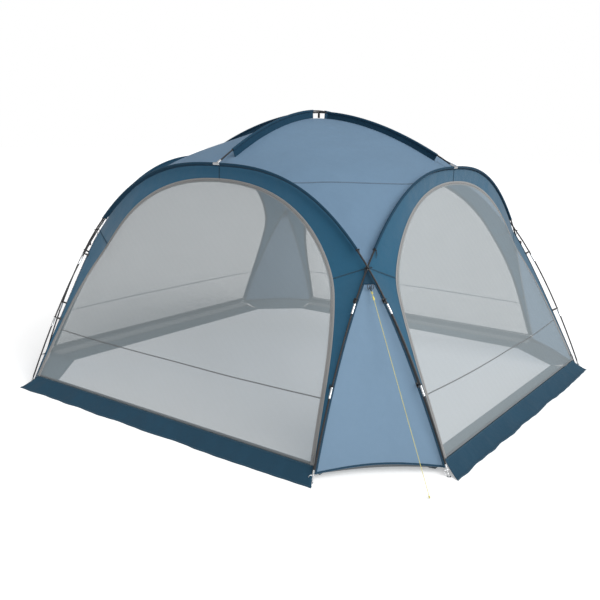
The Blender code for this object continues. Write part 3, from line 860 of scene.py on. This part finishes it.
def on_doors(ending, data, finish, slot, stands_for=False):
    """A piece of each wall, turned to its side, kept off every body and with its turn baked into its mesh."""
    start, end = across_the_fold()
    made = []
    for side, name in enumerate(SIDES):
        stood_for = [f"{name}_netting", f"{name}_door_flap"] if stands_for else []
        one = piece(f"{name}_{ending}", data, finish, slot, body=None, side=side, replaces=stood_for)
        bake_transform(one)
        made.append(one)
    return made


def height_on_net(u, height):
    """The v at which the netting reaches a height."""
    low, high = 0.0, 1.0
    for _ in range(40):
        v = (low + high) / 2
        low, high = (v, high) if net_point(u, v).z < height else (low, v)
    return v


def netting():
    data = grid(120, 90, net_point, (2.7, 1.9))
    for cloth in on_doors("netting_cloth", data, "netting", "grey_netting", stands_for=True):
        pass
    seam = [(u, height_on_net(u, NET_SEAM_HEIGHT)) for u in steps(0.004, 0.996, 90)]
    on_doors("netting_seam", seam_on(net_point, seam, 0.007, 0.001), "net_seam", "grey_netting")
    hem = [(u, height_on_net(u, HEM_HEIGHT + 0.007)) for u in steps(0.004, 0.996, 90)]
    on_doors("netting_hem", seam_on(net_point, hem, 0.014, 0.001), "net_hem", "grey_netting")


def zip_rails(offset):
    """The zip line moved across the wall, positive towards the poles, with outward directions."""
    path, ups = [], []
    for u in steps(0.0, 1.0, 240):
        line, edge = ZIP_LINE(u), EDGE_LINE(u)
        tangent = (ZIP_LINE(min(u + 0.002, 1.0)) - ZIP_LINE(max(u - 0.002, 0.0))).normalized()
        across = (edge - line) - tangent * (edge - line).dot(tangent)
        across.normalize()
        up = tangent.cross(across).normalized()
        up = up if up.dot(line - SHELL_HEART) > 0 else -up
        path.append(line + across * offset + up * 0.0022)
        ups.append(up)
    return path, ups


def zips():
    path, ups = zip_rails(TAPE_WIDTH / 2)
    on_sides("zip_tape_outer", sweep(path, ups, flat_section(TAPE_WIDTH, 0.0012)), "zip_tape", "grey_netting")
    path, ups = zip_rails(0.0)
    teeth = [p + up * 0.001 for p, up in zip(path, ups)]
    on_sides("zip_teeth", sweep(teeth, ups, flat_section(0.0055, 0.0026)), "zip_teeth", "zip_metal")
    path, ups = zip_rails(-TAPE_WIDTH / 2)
    on_doors("zip_tape_inner", sweep(path, ups, flat_section(TAPE_WIDTH, 0.0012)), "zip_tape", "grey_netting")


# Corner panels and skirts

PANEL_FOOT = 0.035
PANEL_ARCH = 0.028
PANEL_TOP = 1.157
GUSSET_FOOT = 1.119


def panel_edge(z):
    leg = neighbour_leg(z)
    return beside_leg(leg), beside_leg(Vector((-leg.y, -leg.x, z)))


def panel_point(u, v):
    """The front right corner panel, with its bottom edge arched up and a slight hollow between the legs."""
    bottom = PANEL_FOOT + PANEL_ARCH * math.sin(math.pi * u)
    z = bottom + (PANEL_TOP - bottom) * v
    first, second = panel_edge(z)
    margin = 0.002 / (second - first).length
    point = first.lerp(second, margin + (1 - 2 * margin) * u)
    hollow = 0.018 * (second - first).length * math.sin(math.pi * u)
    ripple = 0.004 * noise.noise(Vector((u * 3, v * 5, 3.0))) * math.sin(math.pi * u) * min(v * 8, 1)
    return point + Vector((-0.7, 0.7, 0.1)) * (hollow + ripple)


def strip_up(place, at_u, width, high):
    """The route of a strip that runs up a sheet to v = high, at a constant distance from its side."""
    rows = []
    for v in steps(0.0, high, 60):
        span = (place(1.0, v) - place(0.0, v)).length
        share = width / 2 / max(span, width)
        rows.append((share if at_u == 0 else 1 - share, v))
    return rows


def corner_panels():
    data = grid(24, 48, panel_point, (0.9, 1.1))
    for cloth in on_corners("corner_cloth", data, "panel", "light_blue_canopy", replaces="corner_panel"):
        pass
    routes = [strip_up(panel_point, side, 0.014, 0.98) for side in (0, 1)]
    borders = [seam_on(panel_point, route, 0.014, 0.0016) for route in routes]
    hem = [(u, 0.006) for u in steps(0.0, 1.0, 50)]
    borders.append(seam_on(panel_point, hem, 0.012, 0.0012, 0.003))
    on_corners("corner_borders", joined(borders), "binding", "dark_blue_fabric")
    on_corners("corner_gusset", grid(10, 8, gusset_point, (0.1, 0.1)), "sleeve", "dark_blue_fabric", 0.002)
    inner = []
    for u in steps(0, 1, 40):
        inner.append(panel_point(u, 0.0) + Vector((-0.02, 0.02, 0.004 - 0.018 * math.sin(math.pi * u))))
    out = Vector((1, -1, 0)).normalized()
    data = sweep(inner, [out] * len(inner), flat_section(0.030, 0.0014))
    on_corners("corner_inner_tape", data, "net_hem", "grey_netting")


def gusset_point(u, v):
    """A dark triangle that closes the corner just below the crossing."""
    z = GUSSET_FOOT + (CROSS_Z - 0.012 - GUSSET_FOOT) * v
    first, second = panel_edge(z)
    return first.lerp(second, u) + Vector((0.7, -0.7, 0.2)) * 0.004


SKIRT_TOP = 0.082
SKIRT_TOP_REACH = 1.9445
SKIRT_REACH = 2.066
SKIRT_TOP_HALF = 1.352
SKIRT_HALF = 1.420


def skirt_point(u, v):
    """The skirt, from the hem down to the ground, in loose waves that grow towards its free edge."""
    x = 2 * u - 1
    half = SKIRT_TOP_HALF + (SKIRT_HALF - SKIRT_TOP_HALF) * v
    wave = noise.noise(Vector((u * 9, 0.3 * v, 5.0))) * 0.020 + noise.noise(Vector((u * 26, v, 9.0))) * 0.006
    y = SKIRT_TOP_REACH + (SKIRT_REACH - SKIRT_TOP_REACH) * v ** 1.1 + wave * v
    z = 0.0012 + (SKIRT_TOP - 0.0012) * (1 - v) ** 1.25 + max(wave, 0) * 0.5 * math.sin(math.pi * v)
    return Vector((x * half, -y, z))


def skirts():
    data = grid(160, 12, skirt_point, (2.8, 0.13))
    for cloth in on_sides("skirt_cloth", data, "skirt", "dark_blue_fabric", CLOTH_THICKNESS, replaces="skirt"):
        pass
    seam = seam_on(skirt_point, [(u, 0.035) for u in steps(0, 1, 90)], 0.010, 0.0012)
    hem = seam_on(skirt_point, [(u, 0.945) for u in steps(0, 1, 90)], 0.014, 0.0012)
    on_sides("skirt_hems", joined([seam, hem]), "band_seam", "dark_blue_fabric")


FLAP_TOP_REACH = 1.934
FLAP_FOLD_REACH = 1.890
FLAP_FOLD_HEIGHT = 0.010
FLAP_REACHES = (1.757, 1.757, 1.688, 1.688)  # where the flaps end, further in at the back and the left
FLAP_TOP_HALF = 1.382
FLAP_NARROWS = 0.24  # the cloth narrows by this at either side for each metre that it runs inwards
NET_FOOT_SIZE = (2.76, 0.085)
FLAP_LENGTH = 2.74


def flap_half(reach):
    return FLAP_TOP_HALF - (FLAP_TOP_REACH - reach) * FLAP_NARROWS


def net_foot_point(u, v):
    """The foot of the netting: it hangs from the hem, behind the skirt, and reaches inwards to the flap."""
    reach = FLAP_TOP_REACH + (FLAP_FOLD_REACH - FLAP_TOP_REACH) * v
    height = HEM_HEIGHT - 0.004 + (FLAP_FOLD_HEIGHT + 0.004 - HEM_HEIGHT) * v
    return Vector(((2 * u - 1) * flap_half(reach), -reach, height))


def ground_flap_point(u, v, inner):
    """The flap inside a wall: it lies inwards on the ground in low waves."""
    reach = FLAP_FOLD_REACH + (inner - FLAP_FOLD_REACH) * v
    wave = noise.noise(Vector((u * 11, v * 2, 6.0))) * 0.005 * math.sin(math.pi * v)
    height = 0.0012 + (FLAP_FOLD_HEIGHT - 0.0012) * (1 - smooth(v / 0.5)) + wave
    return Vector(((2 * u - 1) * flap_half(reach), -reach - wave, max(height, 0.0012)))


CORNER_FLAP_SIZE = (0.84, 0.20)


def corner_flap_point(u, v, first, second):
    """The flap inside a corner panel, between the flaps of its two walls."""
    start = panel_point(u, 0.0) + Vector((-0.006, 0.006, 0.008))
    end = Vector((flap_half(first), -first, 0)).lerp(Vector((second, -flap_half(second), 0)), u)
    point = start.lerp(end, v)
    point.z = 0.0016 + (start.z - 0.0016) * (1 - min(v / 0.92, 1.0))
    return point


def ground_flaps():
    data = grid(120, 5, net_foot_point, NET_FOOT_SIZE)
    for cloth in on_sides("net_foot", data, "netting", "grey_netting", CLOTH_THICKNESS):
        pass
    for side, inner in enumerate(FLAP_REACHES):
        size = (FLAP_LENGTH, round(FLAP_FOLD_REACH - inner + 0.002, 3))
        data = grid(140, 12, lambda u, v: ground_flap_point(u, v, inner), size)
        name = f"{SIDES[side]}_ground_flap"
        cloth = piece(name, data, "ground_flap", "dark_blue_fabric", CLOTH_THICKNESS, side=side)
        after = FLAP_REACHES[(side + 1) % 4]
        data = grid(30, 10, lambda u, v: corner_flap_point(u, v, inner, after), CORNER_FLAP_SIZE)
        name = f"{CORNERS[side]}_ground_flap"
        cloth = piece(name, data, "ground_flap", "dark_blue_fabric", CLOTH_THICKNESS, side=side)


# Fittings on the poles


def half_arch(side):
    return along([arch_point(x, arch_shift(side)) for x in steps(FOOT_REACH, 0.0, 300)])


def at_length(side, sign, distance):
    """A place on an arch's leg, that far from the foot, and the direction up the pole."""
    half = half_arch(side)
    low, high = half((distance - 0.01) / half.length), half((distance + 0.01) / half.length)
    point, direction = half(distance / half.length), (high - low).normalized()
    flip = Vector((sign, 1, 1))
    return point * flip, (direction * flip).normalized()


def towards_heart(centre, direction):
    """The direction from a place on a pole to the inside of the shelter, square to the pole."""
    inwards = (SHELL_HEART - centre).normalized()
    return (inwards - direction * inwards.dot(direction)).normalized()


def circle(centre, first, second, radius, count):
    angles = [2 * math.pi * k / count for k in range(count)]
    return [centre + (first * math.cos(a) + second * math.sin(a)) * radius for a in angles]


def ferrule(centre, direction, length):
    """A metal sleeve on a pole with rolled ends."""
    sides = 14
    path = [centre + direction * length / 2 * share for share in (-1, -0.96, -0.90, 0.90, 0.96, 1)]
    data = sweep(path, [direction.orthogonal()] * len(path), round_section(0.0078, sides))
    for ring, factor in ((0, 0.94), (1, 1.06), (4, 1.06), (5, 0.94)):
        for k in range(sides):
            vertex = data.vertices[ring * sides + k]
            vertex.co = path[ring] + (vertex.co - path[ring]) * factor
    return data


def ferrules():
    for side, name in enumerate(SIDES):
        made = []
        for sign in (-1, 1):
            for count in (1, 2):
                centre, direction = at_length(side, sign, count * SECTION)
                made.append(ferrule(centre, direction, 0.070))
        piece(f"{name}_ferrules", joined(made), "silver", "silver_fitting", side=side)


def clip(centre, direction, inwards, reach):
    """A hook clip: a ring that grips the pole, a strap and a foot sewn to the cloth's edge."""
    ring = circle(centre, inwards, direction.cross(inwards), 0.0095, 18)
    meshes = [sweep(ring, [direction] * 18, round_section(0.0024, 8), closed=True)]
    stem = [centre + inwards * d for d in (0.010, 0.016, reach * 0.6, reach)]
    meshes.append(sweep(stem, [direction] * 4, flat_section(0.005, 0.015)))
    foot = [centre + inwards * reach + direction * d for d in (-0.016, -0.008, 0.008, 0.016)]
    meshes.append(sweep(foot, [inwards] * 4, flat_section(0.018, 0.003)))
    return joined(meshes)


def clips():
    for side, name in enumerate(SIDES):
        made = []
        for sign in (-1, 1):
            for distance in CLIPS_AT:
                centre, direction = at_length(side, sign, distance)
                inwards = towards_heart(centre, direction)
                made.append(clip(centre, direction, inwards, leg_inset(centre.z)))
        piece(f"{name}_clips", joined(made), "black_clip", "black_webbing", side=side)


def tie(centre, direction, inwards, radius):
    """A cord tied round the poles, with a knot and two tails."""
    other = direction.cross(inwards).normalized()
    loop = circle(centre, inwards, other, radius, 20)
    meshes = [sweep(loop, [direction] * 20, round_section(0.0020, 8), closed=True)]
    start = centre + other * (radius + 0.002)
    for sway in (-1, 1):
        lean = direction * sway * 0.010 + other * 0.006 - Vector((0, 0, 0.030))
        tail = [start + lean * t - Vector((0, 0, 0.008)) * t * t for t in steps(0, 1, 8)]
        meshes.append(sweep(tail, [inwards] * 8, round_section(0.0016, 6)))
    bm = bmesh.new()
    bmesh.ops.create_icosphere(bm, subdivisions=2, radius=0.0055)
    bmesh.ops.translate(bm, vec=start, verts=bm.verts)
    bm.loops.layers.uv.new("cloth")
    meshes.append(mesh_from(bm))
    return joined(meshes)


def ties():
    """A tie at both ends of each arch sleeve and one round the two poles at each crossing."""
    for side, name in enumerate(SIDES):
        made = []
        for sign in (-1, 1):
            centre = arch_point(sign * SLEEVE_REACH, arch_shift(side))
            ahead = arch_point(sign * (SLEEVE_REACH + 0.02), arch_shift(side))
            direction = (ahead - centre).normalized()
            inwards = towards_heart(centre, direction)
            made.append(tie(centre + direction * 0.008, direction, inwards, 0.0105))
        piece(f"{name}_sleeve_ties", joined(made), "webbing", "black_webbing", side=side)
    centre = Vector((CROSS_X, -CROSS_X, CROSS_Z))
    outwards = Vector((1, -1, 0)).normalized()
    data = tie(centre, Vector((0, 0, 1)), -outwards, 0.021)
    on_corners("crossing_tie", data, "webbing", "black_webbing")


def leg_straps():
    """A narrow strap up both edges of each corner, from the hem to the crossing, which tensions the cloth."""
    made = []
    for mirror in (False, True):
        path, ups = [], []
        for z in steps(HEM_HEIGHT * 0.6, CROSS_Z - 0.02, 60):
            leg = neighbour_leg(z)
            leg = Vector((-leg.y, -leg.x, z)) if mirror else leg
            edge = beside_leg(leg)
            path.append(edge + (leg - edge).normalized() * 0.004)
            ups.append((leg - edge).normalized())
        made.append(sweep(path, ups, flat_section(0.008, 0.0016)))
    on_corners("leg_straps", joined(made), "webbing", "black_webbing")


def foot_rings():
    """A wire ring and a pin through each foot end, which hold the wall's corner."""
    for side, name in enumerate(SIDES):
        made = []
        for sign in (-1, 1):
            centre, direction = at_length(side, sign, 0.045)
            inwards = towards_heart(centre, direction)
            other = direction.cross(inwards).normalized()
            middle = centre + other * 0.010 - direction * 0.010
            ring = circle(middle, other, direction, 0.013, 24)
            made.append(sweep(ring, [inwards] * 24, round_section(0.0013, 8), closed=True))
            pin = [centre + other * d for d in (-0.014, 0.0, 0.020)]
            made.append(sweep(pin, [inwards] * 3, round_section(0.0018, 8)))
        piece(f"{name}_foot_rings", joined(made), "silver", "silver_fitting", side=side)


def corner_loops():
    """Grey webbing loops under each gusset, to which a guyline can be tied."""
    middle = Vector((1.354, -1.354, GUSSET_FOOT - 0.002))
    outwards = Vector((1, -1, 0)).normalized()
    sideways = Vector((1, 1, 0)).normalized()
    height = Vector((0, 0, 0.016))
    made = []
    for offset in (-0.012, 0.014):
        centre = middle + sideways * offset + outwards * 0.010 - height
        path = circle(centre, sideways * 0.008, height, 1.0, 24)
        made.append(sweep(path, [outwards] * 24, flat_section(0.0020, 0.010), closed=True))
    on_corners("corner_loops", joined(made), "grey_webbing", "black_webbing")


CAD_FINISHES = {
    "crown": "pole", "_leg": "pole", "roof_pole": "pole", "hub": "silver", "foot": "silver",
    "zip_": "zip_metal", "peak_hook": "webbing", "guyline_loop": "webbing", "guyline_runner": "cord",
}


def cad_finishes():
    """Better materials for the CAD nodes that stay in view. The first word found in a node's name counts."""
    for name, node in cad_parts.items():
        finish = next((CAD_FINISHES[word] for word in CAD_FINISHES if word in name), None)
        if finish:
            for slot in node.material_slots:
                slot.material = MATERIALS[finish]


camera()
guyline()
studio()
canopy()
roof_sleeves()
arch_sleeves()
band()
netting()
zips()
corner_panels()
skirts()
ground_flaps()
ferrules()
clips()
ties()
leg_straps()
foot_rings()
corner_loops()
cad_finishes()
